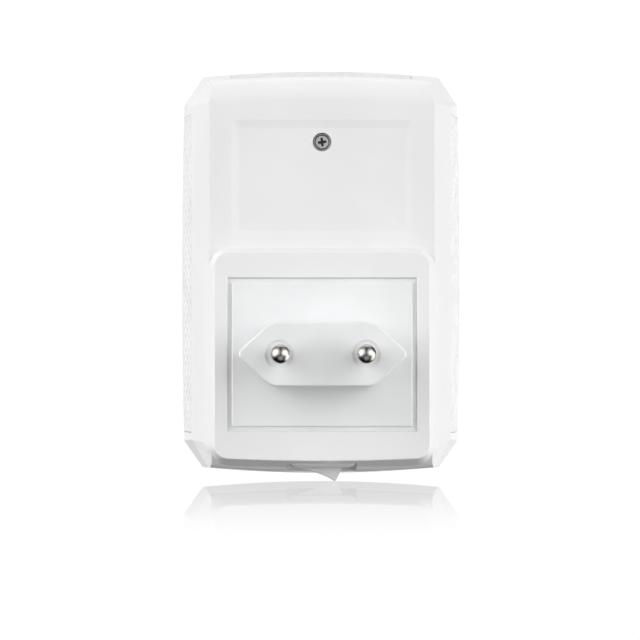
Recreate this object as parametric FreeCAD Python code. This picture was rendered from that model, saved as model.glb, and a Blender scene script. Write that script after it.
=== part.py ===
import FreeCAD, Part
import math
import os

V = FreeCAD.Vector

# Frame: millimetres, +Z up, +Y towards the room side (front), -Y towards the wall.
# The origin is the centre of the plug boss face, midway between the two pins.

# Depth of each plane along Y
bossFaceY = 0.0
padFaceY = 12.0
panelY = 15.0
seamY = 28.0
widestY = 42.0
frontY = 50.0

# Casing walls and joints
wall = 2.0
seamGap = 0.25
tongueStart = 26.2
tongueInset = 1.15
grip = 0.05

# Rear casing: flat back panel, bevelled sides, rounded top and bottom
panelHalfWidth = 24.4
bevelPlaneTurn = 0.315
rearEdgeRadius = 5.3
seamOutline = dict(half=28.5, sideBow=0.0, top=59.87, topBow=0.86,
                   bottom=-24.65, bottomBow=1.05, cutX=3.65, cutTop=5.0, cutLow=5.9)
wideOutline = dict(half=30.8, sideBow=0.5, top=62.6, topBow=1.35,
                   bottom=-25.3, bottomBow=1.3, cutX=4.2, cutTop=6.4, cutLow=5.95)

# Three points (x, y, z) on the plane that cuts each rear corner, for the right-hand side
topCornerPlane = ((24.4, 15.0, 54.57), (24.75, 20.3, 59.87), (28.5, 28.0, 54.87))
lowCornerPlane = ((24.4, 15.0, -19.35), (24.75, 20.3, -24.65), (28.5, 28.0, -18.75))

# Raised plug pad and its window
padHalf = 23.3
padTop = 22.0
padBottom = -22.5
padBottomBow = 0.5
padCorner = 3.0
padTaper = 0.36
padBottomTaper = 0.85       # share of the taper that the bottom edge gets
padRim = 0.3
padWall = 2.0
windowHalf = 20.4
windowTop = 16.5
windowBottom = -16.6
windowLip = 0.22

# Plug insert with its six-sided boss
insertHalf = 19.53
insertTop = 15.3
insertBottom = -15.6
insertStepY = 12.65
flangeHalf = 22.1
flangeTop = 19.6
flangeBottom = -18.4
flangeBack = 15.6
bossHalfLength = 17.65
bossHalfHeight = 6.75
bossShoulder = 11.0
bossTip = 0.6
bossShoulderRound = 4.0
bossDraft = 0.3

# Two-pole flat plug pins, 4 mm, converging towards their tips
pinBaseX = 9.3
pinTipX = 8.8
pinLength = 19.0
pinRadius = 2.0
pinCoreRadius = 1.45
pinSleeveRadius = 1.8
pinSleeveEnd = 10.0
pinTailRadius = 1.25
pinTailEnd = 17.4
ringRadius = 3.0
ringDepth = 0.35
contactY = 16.2
contactThick = 0.5

# Label recess and housing screw on the back panel
labelHalf = 19.8
labelTop = 50.9
labelBottom = 25.2
labelCorner = 1.2
labelSlope = 1.7
labelDepth = 0.28
screwZ = 46.1
screwSeatY = 17.2
screwHeadRadius = 1.9
screwHoleRadius = 2.02

# Rocker switch under the casing
switchY = 20.05
switchSeatZ = -23.6
bezelDepth = 0.85
bezelHalfX = 7.45
bezelHalfY = 5.25
bezelCorner = 1.3
bezelMargin = 0.08
switchHalfX = 6.7
switchHalfY = 4.2
switchInnerZ = -12.6
openHalfX = 5.85
openHalfY = 3.45
pivotZ = -22.6
rockerTilt = 19.0
rockerHalfY = 3.1
trunnionRadius = 0.8
stemRadius = 1.4
plungerRadius = 0.8
plungerTip = 4.7
bridgeZ = -17.6
bridgeTilt = 8.0
bridgeThick = 0.4
bridgeEarRadius = 0.33

# Circuit board and the things that stand on it
boardY = 27.0
boardThick = 1.6
boardHalf = 22.5
boardTop = 57.0
boardBottom = -19.0
boardCut = 4.0
boardFixX = 18.5
boardFixZ = (52.0, -14.5)
leadRadius = 0.3
leadOut = 1.0
postRadius = 2.8

# Sound source behind the front wall
speakerZ = 18.5
speakerBack = 32.0
speakerFlangeY = 46.7
speakerRadius = 17.0
speakerWall = 1.5
earY = 40.0
earReach = 20.5
earThick = 2.0
grilleRadius = 15.5
soundHole = 14.0
slotPitch = 2.8
slotWidth = 1.5

# Indicator lamp
lampZ = -12.0
lampRadius = 1.5
lampBaseY = 38.0
lensRadius = 2.5

# Textured trim panels let into the flared walls
trimStart = 29.6
trimEnd = 40.8
trimDepth = 0.9
sideTrimTop = 53.3
sideTrimBottom = -17.3
topTrimHalf = 20.2


def box(x0, x1, y0, y1, z0, z1):
    return Part.makeBox(x1 - x0, y1 - y0, z1 - z0, V(x0, y0, z0))


def rodY(x, z, y0, y1, radius):
    return Part.makeCylinder(radius, y1 - y0, V(x, y0, z), V(0, 1, 0))


def rodX(x0, x1, y, z, radius):
    return Part.makeCylinder(radius, x1 - x0, V(x0, y, z), V(1, 0, 0))


def rodZ(x, y, z0, z1, radius):
    return Part.makeCylinder(radius, z1 - z0, V(x, y, z0), V(0, 0, 1))


def fused(shapes):
    result = shapes[0]
    for shape in shapes[1:]:
        result = result.fuse(shape)
    return result.removeSplitter()


def mirrored(shape):
    return shape.mirror(V(0, 0, 0), V(1, 0, 0))


def filleted(shape, radius, chosen):
    return shape.makeFillet(radius, [edge for edge in shape.Edges if chosen(edge)])


def liesAtY(edge, y):
    bounds = edge.BoundBox
    return abs(bounds.YMin - y) < 1e-4 and abs(bounds.YMax - y) < 1e-4


def closedWire(points, bows, y):
    # points are (x, z) corners, and bows[i] is the middle point of an arc on side i, or None
    edges = []
    for index, start in enumerate(points):
        end = points[(index + 1) % len(points)]
        a = V(start[0], y, start[1])
        b = V(end[0], y, end[1])
        if bows[index] is None:
            edges.append(Part.LineSegment(a, b).toShape())
        else:
            middle = V(bows[index][0], y, bows[index][1])
            edges.append(Part.Arc(a, middle, b).toShape())
    return Part.Wire(edges)


def movedCut(cutX, cutZ, inset):
    # the width and height of a cut corner when all three of its sides move inwards by inset
    shrink = 1 + inset * (math.hypot(cutX, cutZ) / (cutX * cutZ) - 1 / cutX - 1 / cutZ)
    return cutX * shrink, cutZ * shrink


def casingWire(outline, y, inset):
    # a rectangle with cut corners and bowed edges, moved inwards by inset on every side
    half = outline["half"] - inset
    top = outline["top"] - inset
    bottom = outline["bottom"] + inset
    topX, topZ = movedCut(outline["cutX"], outline["cutTop"], inset)
    lowX, lowZ = movedCut(outline["cutX"], outline["cutLow"], inset)
    middleZ = (top + bottom) / 2
    points = [(-half + topX, top), (half - topX, top), (half, top - topZ), (half, bottom + lowZ),
              (half - lowX, bottom), (-half + lowX, bottom), (-half, bottom + lowZ), (-half, top - topZ)]
    side = half + outline["sideBow"]
    bows = [(0, top + outline["topBow"]), None, (side, middleZ), None,
            (0, bottom - outline["bottomBow"]), None, (-side, middleZ), None]
    if outline["sideBow"] == 0:
        bows[2] = None
        bows[6] = None
    return closedWire(points, bows, y)


def roundedWire(half, top, bottom, corner, y, bottomBow=0.0):
    # a rectangle with round corners; its lower edge may bow downwards
    reach = corner * (1 - math.sqrt(0.5))
    points = [(-half + corner, top), (half - corner, top),
              (half, top - corner), (half, bottom + corner),
              (half - corner, bottom), (-half + corner, bottom),
              (-half, bottom + corner), (-half, top - corner)]
    bows = [None, (half - reach, top - reach), None, (half - reach, bottom + reach),
            None, (-half + reach, bottom + reach), None, (-half + reach, top - reach)]
    if bottomBow:
        bows[4] = (0, bottom - bottomBow)
    return closedWire(points, bows, y)


def loft(wires, ruled=True):
    return Part.makeLoft(wires, True, ruled)


# Rear casing

def edgeProfile(depth, inset, side):
    # the (y, z) section of the rounded rear edge, for the top (side 1) or the bottom (side -1)
    radius = rearEdgeRadius - inset
    back = panelY + inset
    edgeZ = (seamOutline["top"] + seamOutline["topBow"] if side > 0 else
             seamOutline["bottom"] - seamOutline["bottomBow"]) - side * inset
    innerZ = (seamOutline["top"] + seamOutline["bottom"]) / 2
    tangentZ = edgeZ - side * radius
    bulge = radius * (1 - math.sqrt(0.5))
    a = V(0, back, innerZ)
    b = V(0, back, tangentZ)
    c = V(0, back + radius, edgeZ)
    d = V(0, depth, edgeZ)
    e = V(0, depth, innerZ)
    arc = Part.Arc(b, V(0, back + bulge, edgeZ - side * bulge), c).toShape()
    lines = [Part.LineSegment(p, q).toShape() for p, q in ((a, b), (c, d), (d, e), (e, a))]
    return Part.Wire([lines[0], arc] + lines[1:])


def bowedEdge(depth, inset, side):
    # the rear edge section turned about the centre of the edge's bow, so that its crest is an arc
    chord = seamOutline["half"] - seamOutline["cutX"]
    bow = seamOutline["topBow"] if side > 0 else seamOutline["bottomBow"]
    bowRadius = (chord * chord + bow * bow) / (2 * bow)
    edgeZ = (seamOutline["top"] + bow if side > 0 else seamOutline["bottom"] - bow)
    centre = V(0, 0, edgeZ - side * bowRadius)
    sweep = math.degrees(math.asin(min(1.0, 33.0 / bowRadius)))
    face = Part.Face(edgeProfile(depth, inset, side))
    face.rotate(centre, V(0, 1, 0), -sweep)
    return face.revolve(centre, V(0, 1, 0), 2 * sweep)


def cornerSlab(plane, side, inset):
    # the material outside one corner plane, moved inwards by inset
    a, b, c = [V(side * x, y, z) for x, y, z in plane]
    outward = (b - a).cross(c - a).normalize()
    if outward.x * side < 0:
        outward = outward * -1
    centre = b - outward * inset
    reach = 40
    sheet = Part.Plane(centre, outward).toShape(-reach, reach, -reach, reach)
    return sheet.extrude(outward * reach)


def rearBlock(inset, depth):
    # the rear casing's outer form, or its hollow when inset is the wall thickness
    prism = Part.Face(casingWire(seamOutline, panelY + inset, inset))
    prism = prism.extrude(V(0, depth - panelY - inset, 0))
    turn = bevelPlaneTurn
    lean = inset * (math.hypot(1, turn) - turn)
    nearHalf = panelHalfWidth - lean
    farHalf = nearHalf + turn * (depth - panelY - inset)
    corners = [V(-nearHalf, panelY + inset, -40), V(nearHalf, panelY + inset, -40),
               V(farHalf, depth, -40), V(-farHalf, depth, -40)]
    sides = Part.Face(Part.makePolygon(corners + corners[:1])).extrude(V(0, 0, 120))
    edges = bowedEdge(depth, inset, 1).fuse(bowedEdge(depth, inset, -1))
    block = prism.common(sides).common(edges.removeSplitter())
    slabs = [cornerSlab(plane, side, inset) for plane in (topCornerPlane, lowCornerPlane) for side in (-1, 1)]
    return block.cut(Part.makeCompound(slabs))


def padBlock(inset, y0, y1):
    # the raised pad tapers towards the wall and has round corners
    wires = []
    for y in (y0, y1):
        grow = padTaper * (y - padFaceY) - inset
        wires.append(roundedWire(padHalf + grow, padTop + grow, padBottom - padBottomTaper * grow,
                                 padCorner + grow, y, padBottomBow))
    return loft(wires)


def windowRim():
    # the small sloping lip round the window
    wires = []
    for y, grow in ((padFaceY - 0.01, windowLip), (padFaceY + windowLip, 0)):
        half = windowHalf + grow
        top = windowTop + grow
        bottom = windowBottom - grow
        wires.append(closedWire([(-half, top), (half, top), (half, bottom), (-half, bottom)], [None] * 4, y))
    return loft(wires)


def labelRecess():
    outer = roundedWire(labelHalf, labelTop, labelBottom, labelCorner, panelY - 0.01)
    inner = roundedWire(labelHalf - labelSlope, labelTop - labelSlope, labelBottom + labelSlope,
                        labelCorner * 0.6, panelY + labelDepth)
    return loft([outer, inner])


def rearHousing():
    outer = rearBlock(0, seamY)
    pad = padBlock(0, padFaceY, panelY + 3)
    pad = filleted(pad, padRim, lambda edge: liesAtY(edge, padFaceY))
    outer = outer.fuse(pad)
    hollow = rearBlock(wall, seamY + 1)
    pocket = box(-22.35, 22.35, padFaceY + padWall, panelY + wall + 0.5, -21.0, 20.2)
    shell = outer.cut(hollow.fuse(pocket))
    lipStart = tongueStart - 0.2
    relief = Part.Face(casingWire(seamOutline, lipStart, tongueInset - 0.15)).extrude(V(0, 4, 0))
    shell = shell.cut(relief.common(box(-27.3, 27.3, lipStart, seamY + 1, -40, 80)))
    # seat for the switch, the clamp's bosses, the insert's hooks and the screw's boss
    seat = box(-9.5, 9.5, panelY + 0.6, lipStart, switchSeatZ - 1.9, switchSeatZ + 2)
    seat = seat.common(rearBlock(0.3, lipStart))
    additions = [seat, rodY(0, screwZ, panelY + 1, 19.2, 3.6)]
    for side in (-1, 1):
        additions.append(rodY(side * 13.0, 24.6, panelY + 1.2, 21.0, 2.5))
        x0, x1 = sorted((side * 20.4, side * 22.7))
        additions.append(box(x0, x1, flangeBack + 0.1, 17.3, -17.5, -12.5))
    shell = shell.fuse(additions)
    cuts = [box(-windowHalf, windowHalf, 10, 15, windowBottom, windowTop), windowRim(),
            labelRecess(),
            rodY(0, screwZ, 10, screwSeatY, screwHoleRadius), rodY(0, screwZ, 10, 21, 1.25),
            box(-bezelHalfX - bezelMargin, bezelHalfX + bezelMargin, padFaceY - 1,
                switchY + bezelHalfY + bezelMargin, -30, switchSeatZ),
            box(-switchHalfX - grip, switchHalfX + grip, switchY - switchHalfY - grip,
                switchY + switchHalfY + grip, -30, -18)]
    for side in (-1, 1):
        cuts.append(rodY(side * 13.0, 24.6, 17.8, 22, 1.0 + grip))
        x0, x1 = sorted((side * 11.8, side * 17.2))
        cuts.append(box(x0, x1, 21.9, 24.3, -24.7, -22))
    shell = shell.cut(Part.makeCompound(cuts))
    return shell.removeSplitter()


# Front casing

def crownSections(inset):
    # quarter-ellipse shoulder from the widest edge to the flat front
    sections = []
    depth = frontY - widestY - inset
    for step in range(9):
        angle = math.radians(90 * step / 8)
        y = widestY + depth * math.sin(angle)
        sections.append(casingWire(wideOutline, y, inset + 6.0 * (1 - math.cos(angle))))
    return sections


def flaredWall(inset, y0):
    return loft([casingWire(seamOutline, y0, inset), casingWire(wideOutline, widestY, inset)])


def frontBlock(inset, y0):
    return flaredWall(inset, y0).fuse(loft(crownSections(inset)))


def trimBlock(x0, x1, z0, z1, margin):
    skin = flaredWall(0, seamY + seamGap).cut(flaredWall(trimDepth, seamY + seamGap))
    return skin.common(box(x0 - margin, x1 + margin, trimStart - margin, trimEnd + margin,
                           z0 - margin, z1 + margin))


def sideTrim(margin=0.0):
    return trimBlock(26, 40, sideTrimBottom, sideTrimTop, margin)


def topTrim(margin=0.0):
    return trimBlock(-topTrimHalf, topTrimHalf, 55, 70, margin)


def frontHousing():
    base = seamY + seamGap
    shell = frontBlock(0, base).cut(frontBlock(wall, base))
    ring = Part.Face(casingWire(seamOutline, tongueStart, tongueInset))
    hole = Part.Face(casingWire(seamOutline, tongueStart, wall + 0.35))
    tongue = ring.cut(hole).extrude(V(0, base + 0.6 - tongueStart, 0))
    tongue = tongue.cut(box(-10.5, 10.5, 20, 30, -40, 0))
    tongue = tongue.common(rearBlock(tongueInset, base + 1))
    inside = frontY - wall - 0.1
    additions = [tongue, rodY(0, screwZ, 19.4, inside + 0.2, 3.2)]
    for side in (-1, 1):
        for z in boardFixZ:
            additions.append(rodY(side * boardFixX, z, boardY + boardThick, inside + 0.2, postRadius))
        additions.append(rodY(side * earReach, speakerZ, earY + earThick, inside + 0.2, 2.4))
        x0, x1 = sorted((side * 12.0, side * 17.0))
        additions.append(box(x0, x1, 22.1, base + 1.5, -23.1, -22.2))
        additions.append(box(x0, x1, 22.1, 23.6, -24.4, -22.2))
    collar = rodY(0, speakerZ, 44.0, inside + 0.2, speakerRadius + 1.9)
    additions.append(collar.cut(rodY(0, speakerZ, 43, inside + 1, speakerRadius + 0.3)))
    lampCollar = rodY(0, lampZ, 45.0, inside + 0.2, 4.6)
    additions.append(lampCollar.cut(rodY(0, lampZ, 44, inside + 1, 3.6)))
    shell = shell.fuse(additions)
    cuts = [sideTrim(0.06), mirrored(sideTrim(0.06)), topTrim(0.06),
            rodY(0, speakerZ, frontY - 4, frontY + 1, soundHole),
            rodY(0, speakerZ, frontY - 1.2, frontY + 1, grilleRadius + grip),
            rodY(0, lampZ, frontY - 4, frontY + 1, lensRadius + grip),
            rodY(0, screwZ, 19, 36, 1.1 + grip)]
    for side in (-1, 1):
        for z in boardFixZ:
            cuts.append(rodY(side * boardFixX, z, 28, 37, 0.95 + grip))
        cuts.append(rodY(side * earReach, speakerZ, 41, 47.4, 0.95 + grip))
    return shell.cut(Part.makeCompound(cuts)).removeSplitter()


def speakerGrille():
    disc = rodY(0, speakerZ, frontY - 1.2, frontY + 0.5, grilleRadius)
    disc = filleted(disc, 0.4, lambda edge: liesAtY(edge, frontY + 0.5))
    slots = []
    reach = 12.6
    for row in range(-4, 5):
        z = row * slotPitch
        half = math.sqrt(reach * reach - z * z)
        z += speakerZ
        bar = box(-half, half, frontY - 3, frontY + 3, z - slotWidth / 2, z + slotWidth / 2)
        ends = [rodY(side * half, z, frontY - 3, frontY + 3, slotWidth / 2) for side in (-1, 1)]
        slots.append(bar.fuse(ends))
    return disc.cut(Part.makeCompound(slots))


# Plug insert

def bossWire(grow, y):
    length = bossHalfLength + grow
    height = bossHalfHeight + grow
    shoulder = bossShoulder + 0.4 * grow
    tip = max(bossTip + 0.4 * grow, 0.3)
    points = [(-shoulder, height), (shoulder, height), (length, tip), (length, -tip),
              (shoulder, -height), (-shoulder, -height), (-length, -tip), (-length, tip)]
    return closedWire(points, [None] * 8, y)


def plugBoss():
    boss = loft([bossWire(0, bossFaceY), bossWire(bossDraft, padFaceY + 0.5)])

    def longEdge(edge, reach):
        bounds = edge.BoundBox
        return bounds.YLength > 10 and abs(abs(bounds.Center.x) - reach) < 1.0

    boss = filleted(boss, bossShoulderRound, lambda edge: longEdge(edge, bossShoulder))
    boss = filleted(boss, 0.5, lambda edge: longEdge(edge, bossHalfLength))
    return filleted(boss, 0.35, lambda edge: liesAtY(edge, bossFaceY))


def pinPoint(side, y):
    lean = (pinBaseX - pinTipX) / pinLength
    return V(side * (pinBaseX + lean * y), y, 0)


def pinRod(side, y0, y1, radius):
    # a length of round bar on the leaning pin axis, from the deeper end y1 towards the tip
    start = pinPoint(side, y1)
    run = pinPoint(side, y0) - start
    return Part.makeCylinder(radius, run.Length, start, run)


def pinRing(side, y0, y1, radius):
    start = pinPoint(side, y0)
    return Part.makeCylinder(radius, y1 - y0, V(start.x, y0, 0), V(0, 1, 0))


def plugPin(side):
    bareEnd = -(pinLength - pinRadius)
    ball = Part.makeSphere(pinRadius, pinPoint(side, bareEnd))
    pieces = [pinRod(side, bareEnd, -pinSleeveEnd, pinRadius), ball,
              pinRod(side, -pinSleeveEnd - 0.1, 1.6, pinCoreRadius), pinRod(side, 1.5, 4.0, pinRadius),
              pinRod(side, 3.9, 6.0, 2.6), pinRod(side, 5.9, pinTailEnd, pinTailRadius)]
    return fused(pieces)


def pinSleeve(side):
    return pinRod(side, -pinSleeveEnd, 1.5, pinSleeveRadius).cut(pinRod(side, -11, 2, pinCoreRadius))


def pinSocket(side):
    # the moulded-in bed of one pin, with the shallow ring round it in the boss face
    bed = fused([pinRod(side, -2.0, 1.5, pinSleeveRadius), pinRod(side, 1.4, 4.0, pinRadius),
                 pinRod(side, 3.9, 6.0, 2.6), pinRod(side, 5.9, pinTailEnd + 1, pinTailRadius)])
    return bed.fuse(pinRing(side, bossFaceY - 1, ringDepth, ringRadius))


def plugInsert():
    plate = box(-insertHalf, insertHalf, padFaceY, padFaceY + padWall + 0.1, insertBottom, insertTop)
    plate = filleted(plate, 0.3, lambda edge: liesAtY(edge, padFaceY))
    flange = box(-flangeHalf, flangeHalf, padFaceY + padWall, flangeBack, flangeBottom, flangeTop)
    step = box(-windowHalf + grip, windowHalf - grip, insertStepY, padFaceY + padWall + 0.1,
               windowBottom + grip, windowTop - grip)
    body = fused([plate, step, flange, plugBoss()])
    hollow = Part.Face(bossWire(-1.9, 2.6)).extrude(V(0, 14, 0))
    towers = []
    for side in (-1, 1):
        x = side * (pinBaseX + 0.25)
        towers.append(rodY(x, 0, 2, contactY, 3.6))
    rib = box(-5.5, 5.5, 2, flangeBack, -0.7, 0.7)
    body = body.cut(hollow.cut(Part.makeCompound(towers + [rib])))
    body = body.fuse([tower.common(rodY(tower.BoundBox.Center.x, 0, 10, contactY, 3.6)) for tower in towers])
    for side in (-1, 1):
        body = body.cut(pinSocket(side))
    return body.removeSplitter()


def pinContact(side):
    x = pinPoint(side, contactY).x
    strip = box(x - 2.4, x + 2.4, contactY, contactY + contactThick, -3.2, 10.5)
    strip = filleted(strip, 1.2, lambda edge: edge.BoundBox.YLength > contactThick * 0.9)
    return strip.cut(pinRod(side, 15, 18, pinTailRadius + grip))


def plugClamp():
    pieces = [box(-17, 17, 21.0, 22.6, 16.8, 27.6)]
    for side in (-1, 1):
        x0, x1 = sorted((side * 11.0, side * 17.0))
        pieces.append(box(x0, x1, flangeBack, 21.1, 16.8, 19.4))
    clamp = fused(pieces)
    holes = [rodY(side * 13.0, 24.6, 20, 24, 1.2) for side in (-1, 1)]
    return clamp.cut(Part.makeCompound(holes))


# Screws

def crossRecess(x, z, y, size, depth, turn):
    bars = [box(-size, size, 0, depth, -0.22 * size, 0.22 * size),
            box(-0.22 * size, 0.22 * size, 0, depth, -size, size)]
    cross = bars[0].fuse(bars[1])
    cross.rotate(V(0, 0, 0), V(0, 1, 0), turn)
    cross.translate(V(x, y, z))
    return cross


def screwY(x, z, seatY, headRadius, headHigh, shankRadius, shankLong, facing, turn=0):
    # a pan-head screw along Y; facing -1 shows its head to the wall side, and the shank runs to +Y
    top = seatY + facing * headHigh
    y0, y1 = sorted((seatY, top))
    head = rodY(x, z, y0, y1, headRadius)
    head = filleted(head, headHigh * 0.55, lambda edge: liesAtY(edge, top))
    y0, y1 = sorted((seatY - facing * shankLong, seatY))
    shank = rodY(x, z, y0, y1, shankRadius)
    tipEnd = seatY - facing * shankLong
    shank = shank.makeChamfer(0.4, [edge for edge in shank.Edges if liesAtY(edge, tipEnd)])
    screw = fused([head, shank])
    depth = headHigh * 0.6
    start = top if facing < 0 else top - depth
    return screw.cut(crossRecess(x, z, start, headRadius * 0.55, depth, turn))


def housingScrew():
    return screwY(0, screwZ, screwSeatY, screwHeadRadius, 1.6, 1.1, 14.0, -1, 8)


def clampScrews():
    return [screwY(side * 13.0, 24.6, 22.6, 1.9, 1.4, 1.0, 4.6, 1, 20 + 25 * side) for side in (-1, 1)]


def boardScrews():
    screws = []
    for z in boardFixZ:
        for side in (-1, 1):
            screws.append(screwY(side * boardFixX, z, boardY, 1.9, 1.4, 0.95, 9.0, -1, 30 + side * 12 + z))
    return screws


def transducerScrews():
    return [screwY(side * earReach, speakerZ, earY, 1.8, 1.3, 0.95, 6.0, -1, 15 * side) for side in (-1, 1)]


# Rocker switch

def bezelWire(shrink, z):
    halfX = bezelHalfX - shrink
    halfY = bezelHalfY - shrink * 0.7
    wire = roundedWire(halfX, halfY, -halfY, bezelCorner, 0)
    wire.rotate(V(0, 0, 0), V(1, 0, 0), 90)
    wire.translate(V(0, switchY, z))
    return wire


def switchBody():
    bezel = loft([bezelWire(0, switchSeatZ), bezelWire(0.25, switchSeatZ - 0.35),
                  bezelWire(0.95, switchSeatZ - bezelDepth)])
    can = box(-switchHalfX, switchHalfX, switchY - switchHalfY, switchY + switchHalfY,
              switchSeatZ - 0.1, switchInnerZ)
    body = fused([bezel, can])
    cavity = box(-openHalfX, openHalfX, switchY - openHalfY, switchY + openHalfY, -30, switchInnerZ - 1.0)
    trunnions = Part.makeCylinder(trunnionRadius + grip, 2 * (rockerHalfY + 1.0),
                                  V(0, switchY - rockerHalfY - 1.0, pivotZ), V(0, 1, 0))
    body = body.cut(cavity).cut(trunnions)
    for blade in (terminalCommon(grip), terminalLoad(grip)):
        body = body.cut(blade)
    return body.removeSplitter()


def tilted(shape, z, angle):
    shape.rotate(V(0, switchY, z), V(0, 1, 0), angle)
    return shape


def rockerSection():
    # corners of the level rocker about its pivot: outer tips, side walls and the inner back
    tipX, tipZ = 4.38, -3.77
    a = V(-tipX, 0, tipZ)
    b = V(tipX, 0, tipZ)
    face = Part.Arc(a, V(0, 0, tipZ + 0.45), b).toShape()
    rest = [b, V(4.87, 0, -0.3), V(4.3, 0, 0.9), V(1.6, 0, 1.4), V(-1.6, 0, 1.4), V(-4.3, 0, 0.9),
            V(-4.87, 0, -0.3), a]
    edges = [face] + [Part.LineSegment(p, q).toShape() for p, q in zip(rest, rest[1:])]
    return Part.Face(Part.Wire(edges))


def switchRocker():
    paddle = rockerSection()
    paddle.translate(V(0, switchY - rockerHalfY, pivotZ))
    paddle = paddle.extrude(V(0, 2 * rockerHalfY, 0))
    paddle = filleted(paddle, 0.3, lambda edge: edge.BoundBox.ZMin > pivotZ - 3.8
                      and edge.BoundBox.ZMax < pivotZ - 0.4)
    pin = Part.makeCylinder(trunnionRadius, 2 * (rockerHalfY + 0.85),
                            V(0, switchY - rockerHalfY - 0.85, pivotZ), V(0, 1, 0))
    stem = rodZ(0, switchY, pivotZ, pivotZ + 3.6, stemRadius)
    rocker = fused([paddle, pin, stem])
    rocker = rocker.cut(rodZ(0, switchY, pivotZ + 0.2, pivotZ + 5, plungerRadius + 0.15))
    return tilted(rocker, pivotZ, rockerTilt)


def switchPlunger():
    rod = rodZ(0, switchY, pivotZ + 2.4, pivotZ + plungerTip - plungerRadius, plungerRadius)
    tip = Part.makeSphere(plungerRadius, V(0, switchY, pivotZ + plungerTip - plungerRadius))
    return tilted(fused([rod, tip]), pivotZ, rockerTilt)


def switchSpring():
    wire = 0.14
    turns = Part.makeHelix(0.42, 1.86, plungerRadius - wire - 0.04)
    section = Part.Wire([Part.Circle(V(plungerRadius - wire - 0.04, 0, 0), V(0, 1, 0), wire).toShape()])
    coil = Part.Wire(turns.Edges).makePipeShell([section], True, True)
    coil.translate(V(0, switchY, pivotZ + 0.37))
    return tilted(coil, pivotZ, rockerTilt)


def switchBridge():
    half = 4.4
    strip = box(-half, half, switchY - 1.6, switchY + 1.6,
                bridgeZ - bridgeThick / 2, bridgeZ + bridgeThick / 2)
    contact = rodZ(3.6, switchY, bridgeZ + bridgeThick / 2 - 0.05, bridgeZ + 0.5, 0.9)
    ears = [rodY(0, bridgeZ, y - 0.35, y + 0.35, bridgeEarRadius) for y in (switchY - 1.9, switchY + 1.9)]
    return tilted(fused([strip, contact] + ears), bridgeZ, -bridgeTilt)


def terminalCommon(margin=0.0):
    return box(-0.4 - margin, 0.4 + margin, switchY - 2.4 - margin, switchY + 2.4 + margin,
               bridgeZ + 0.35 - margin, -6.3 + margin)


def terminalLoad(margin=0.0):
    blade = box(4.7 - margin, 5.5 + margin, switchY - 2.4 - margin, switchY + 2.4 + margin,
                -16.1 - margin, -6.3 + margin)
    foot = box(2.6 - margin, 5.5 + margin, switchY - 1.6 - margin, switchY + 1.6 + margin,
               -16.1 - margin, -15.5 + margin)
    pieces = [blade, foot]
    if margin == 0:
        pieces.append(rodZ(3.6, switchY, -16.48, -16.0, 0.9))
    return fused(pieces)


# Circuit board

def lead(x, z, y0, y1=boardY + boardThick + leadOut):
    return rodY(x, z, y0, y1, leadRadius)


def axialPart(x, z, y, long, radius, span, alongX=True):
    # a round body with a wire at each end that bends down into the board
    half = long / 2
    reach = span / 2
    if alongX:
        body = rodX(x - half, x + half, y, z, radius)
        wire = rodX(x - reach, x + reach, y, z, leadRadius)
        feet = [(x - reach, z), (x + reach, z)]
    else:
        body = rodZ(x, y, z - half, z + half, radius)
        wire = rodZ(x, y, z - reach, z + reach, leadRadius)
        feet = [(x, z - reach), (x, z + reach)]
    knees = [Part.makeSphere(leadRadius, V(fx, y, fz)) for fx, fz in feet]
    body = body.makeFillet(radius * 0.3, [edge for edge in body.Edges if edge.Length > radius * 6
                                          and edge.Curve.TypeId == "Part::GeomCircle"])
    legs = [lead(fx, fz, y) for fx, fz in feet]
    return fused([body, wire] + knees + legs), feet


def radialPart(body, feet, y):
    return fused([body] + [lead(x, z, y) for x, z in feet]), feet


def filmCapacitor():
    body = box(-20.5, -3.5, 17.9, 26.3, 30.0, 36.5)
    body = filleted(body, 0.6, lambda edge: True)
    return radialPart(body, [(-19.5, 33.2), (-4.5, 33.2)], 26)


def varistor():
    disc = rodZ(-14.5, 22.4, 40.8, 44.6, 3.9)
    disc = filleted(disc, 1.2, lambda edge: edge.Length > 20)
    return radialPart(disc, [(-17.0, 42.7), (-12.0, 42.7)], 23)


def fuseResistor():
    return axialPart(-9.2, 52.8, 24.6, 8.5, 1.7, 12.0)


def rectifierDiodes():
    return [axialPart(x, z, 25.3, 4.4, 1.25, 6.0) for x in (4.2, 11.4) for z in (50.9, 54.6)]


def electrolytics():
    parts = []
    for x, z, radius, top in ((7.5, 34.0, 4.0, 18.0), (15.6, 33.0, 2.6, 19.6)):
        can = rodY(x, z, top, 26.6, radius)
        can = filleted(can, 0.6, lambda edge: liesAtY(edge, top))
        groove = rodY(x, z, 25.0, 25.6, radius + 1).cut(rodY(x, z, 24, 27, radius - 0.3))
        parts.append(radialPart(can.cut(groove), [(x - radius * 0.35, z), (x + radius * 0.35, z)], 26.2))
    return parts


def coilCore():
    x, z = 12.8, 43.6
    outer = box(x - 5.0, x + 5.0, 18.2, 26.2, z - 2.0, z + 2.0)
    window = box(x - 3.4, x + 3.4, 20.0, 24.4, z - 3, z + 3)
    leg = box(x - 1.4, x + 1.4, 19.9, 24.5, z - 2.0, z + 2.0)
    return fused([outer.cut(window), leg])


def coilBobbin():
    x, z = 12.8, 43.6
    hub = box(x - 1.9, x + 1.9, 20.0, 24.4, z - 2.5, z + 2.5)
    flanges = [box(x - 3.3, x + 3.3, y, y + 0.6, z - 4.0, z + 4.0) for y in (20.0, 23.8)]
    bobbin = fused([hub] + flanges).cut(box(x - 1.4, x + 1.4, 19, 25, z - 2.0, z + 2.0))
    feet = [(x + dx, z + dz) for dx in (-2.4, 2.4) for dz in (-3.4, 3.4)]
    return radialPart(bobbin, feet, 24.3)


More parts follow.
